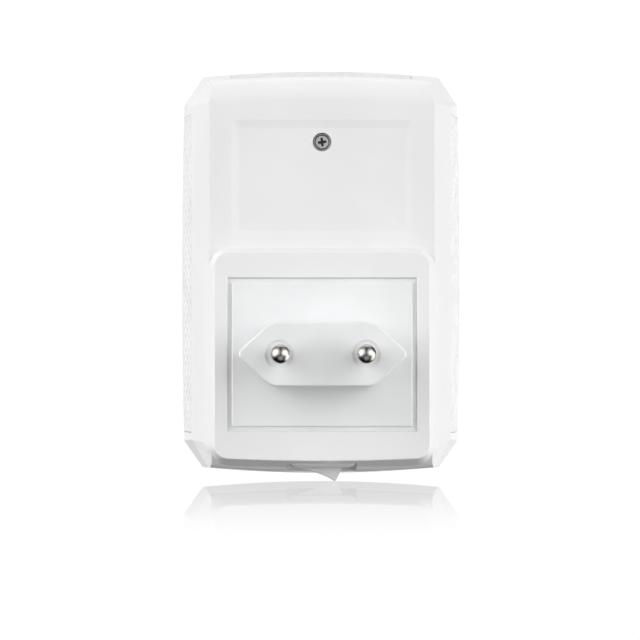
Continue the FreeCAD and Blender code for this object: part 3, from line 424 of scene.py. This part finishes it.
def texturedPanel(name, direction, cell):
    # direction is the unit vector out of the wall; the grid runs over the node's other two axes
    skin = nodeSkin(nodes[name])
    low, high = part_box(name)
    low, high = Vector(low), Vector(high)
    out = Vector(direction)
    run = 2 if abs(out.x) > 0.5 else 0
    side = 0 if run == 2 else 2
    border, fade, edge, thick = [panelWeave[key] * mm for key in ("border", "borderFade", "edgeGap", "thick")]
    countA = round((high.y - low.y) / (panelWeave["step"] * mm))
    countB = round((high[run] - low[run]) / (panelWeave["step"] * mm))
    above = (high[side] if out[side] > 0 else low[side]) + out[side] * 5 * mm
    form = bmesh.new()
    outer, inner = [], []
    for a in range(countA + 1):
        y = low.y + edge + (high.y - low.y - 2 * edge) * a / countA
        outerRow, innerRow = [], []
        for b in range(countB + 1):
            along = low[run] + edge + (high[run] - low[run] - 2 * edge) * b / countB
            start = Vector((0, y, 0))
            start[run] = along
            start[side] = above
            hit = skin.ray_cast(start, -out)[0]
            inside = min(y - low.y, high.y - y, along - low[run], high[run] - along)
            share = min(1.0, max(0.0, (inside - border) / fade))
            sink = panelWeave["sink"] * share * weaveDepth((y - low.y) / mm, along / mm, cell) * mm
            outerRow.append(form.verts.new(hit - out * sink))
            innerRow.append(form.verts.new(hit - out * thick))
        outer.append(outerRow)
        inner.append(innerRow)
    for a in range(countA):
        for b in range(countB):
            form.faces.new((outer[a][b], outer[a + 1][b], outer[a + 1][b + 1], outer[a][b + 1]))
            form.faces.new((inner[a][b], inner[a][b + 1], inner[a + 1][b + 1], inner[a + 1][b]))
    rim = [(0, b) for b in range(countB)] + [(a, countB) for a in range(countA)]
    rim += [(countA, b) for b in range(countB, 0, -1)] + [(a, 0) for a in range(countA, 0, -1)]
    for (a0, b0), (a1, b1) in zip(rim, rim[1:] + rim[:1]):
        form.faces.new((outer[a0][b0], outer[a1][b1], inner[a1][b1], inner[a0][b0]))
    bmesh.ops.recalc_face_normals(form, faces=form.faces)
    piece = makePiece(name + "_weave", form, paints["trimPlastic"])
    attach(piece, "casing")
    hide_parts(name)


for name, direction, cell in (("side_panel_left", (-1, 0, 0), panelWeave["cell"]),
                              ("side_panel_right", (1, 0, 0), panelWeave["cell"]),
                              ("top_panel", (0, 0, 1), panelWeave["topCell"])):
    texturedPanel(name, direction, cell)
print("textured panels made")


# Housing screw

# all in mm
screwShape = dict(
    head=1.88, headHigh=1.5, headSide=0.6, neck=(0.05, 0.01),
    rimWidth=0.2025, rimDrop=0.22,
    ring=(1.36, 1.70), ringDepth=0.32, ringCurve=0.6,
    crossReach=0.98, crossWidth=0.29, crossDepth=0.75, crossTurn=8,
    crossEnd=0.16, crossSide=0.08,      # how far its end and side walls slope
    crossHeart=(0.25, 0.45),            # how fast and from where it widens to its middle
    shank=0.88, thread=1.06, pitch=0.85, length=13.6,
    crest=0.28, runIn=0.8,              # thread's share of its pitch, and where it is full
    tip=(1.6, 0.25),                    # length of the point and how blunt it is
    topGap=0.02,
)
# mesh steps round the screw, across its face, and for each turn of its thread
screwParts = dict(around=144, face=52, perTurn=9)


def screwFace(x, z):
    # depth of the head's face below its top at one place
    shape = screwShape
    radius = math.hypot(x, z)
    depth = 0.0
    start, end = shape["ring"]
    if start < radius < end:
        wave = math.sin(math.pi * (radius - start) / (end - start))
        depth = shape["ringDepth"] * wave ** shape["ringCurve"]
    over = (radius - shape["head"]) / shape["rimWidth"] + 1
    if over > 0:
        depth = max(depth, shape["rimDrop"] * over * over)
    turn = math.radians(shape["crossTurn"])
    u = abs(x * math.cos(turn) + z * math.sin(turn))
    v = abs(-x * math.sin(turn) + z * math.cos(turn))
    far, near = max(u, v), min(u, v)
    rate, heart = shape["crossHeart"]
    width = shape["crossWidth"] + rate * max(0.0, heart - far)
    inReach = min(1.0, max(0.0, (shape["crossReach"] - far) / shape["crossEnd"]))
    inWidth = min(1.0, max(0.0, (width - near) / shape["crossSide"]))
    return max(depth, shape["crossDepth"] * inReach * inWidth)


def threadRadius(along, angle):
    shape = screwShape
    phase = (along / shape["pitch"] + angle / (2 * math.pi)) % 1.0
    crest = max(0.0, 1 - abs(phase - 0.5) / shape["crest"]) * min(1.0, along / shape["runIn"])
    pointLong, blunt = shape["tip"]
    taper = min(1.0, (shape["length"] - along) / pointLong)
    return (shape["shank"] + (shape["thread"] - shape["shank"]) * crest) * (blunt + (1 - blunt) * taper)


def detailedScrew():
    shape = screwShape
    around = screwParts["around"]
    low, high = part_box("housing_screw")
    centreX = (low[0] + high[0]) / 2 / mm
    centreZ = (low[2] + high[2]) / 2 / mm
    top = low[1] / mm + shape["topGap"]
    under = top + shape["headHigh"]
    form = bmesh.new()
    rows = []

    def addRing(radiusAt, yAt):
        row = []
        for part in range(around):
            angle = 2 * math.pi * part / around
            x, z = radiusAt(angle) * math.cos(angle), radiusAt(angle) * math.sin(angle)
            row.append(form.verts.new(Vector((centreX + x, yAt(x, z), centreZ + z)) * mm))
        rows.append(row)

    for step in range(1, screwParts["face"] + 1):
        radius = shape["head"] * step / screwParts["face"]
        addRing(lambda angle: radius, lambda x, z: top + screwFace(x, z))
    wider, lower = shape["neck"]
    for radius, y in ((shape["head"], top + shape["headSide"]), (shape["head"], under),
                      (shape["shank"] + wider, under + lower)):
        addRing(lambda angle: radius, lambda x, z: y)
    count = int(shape["length"] / shape["pitch"] * screwParts["perTurn"])
    for step in range(1, count + 1):
        along = shape["length"] * step / count
        addRing(lambda angle: threadRadius(along, angle), lambda x, z: under + along)
    for first, second in zip(rows, rows[1:]):
        for part in range(around):
            after = (part + 1) % around
            form.faces.new((first[part], first[after], second[after], second[part]))
    for row, y in ((rows[0], top + screwFace(0, 0)), (rows[-1], under + shape["length"])):
        tip = form.verts.new(Vector((centreX, y, centreZ)) * mm)
        for part in range(around):
            form.faces.new((row[part], row[(part + 1) % around], tip))
    bmesh.ops.recalc_face_normals(form, faces=form.faces)
    piece = makePiece("housing_screw_detail", form, paints["screwSteel"])
    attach(piece, "casing")
    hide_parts("housing_screw")


detailedScrew()
print("housing screw made")

bpy.context.view_layer.update()
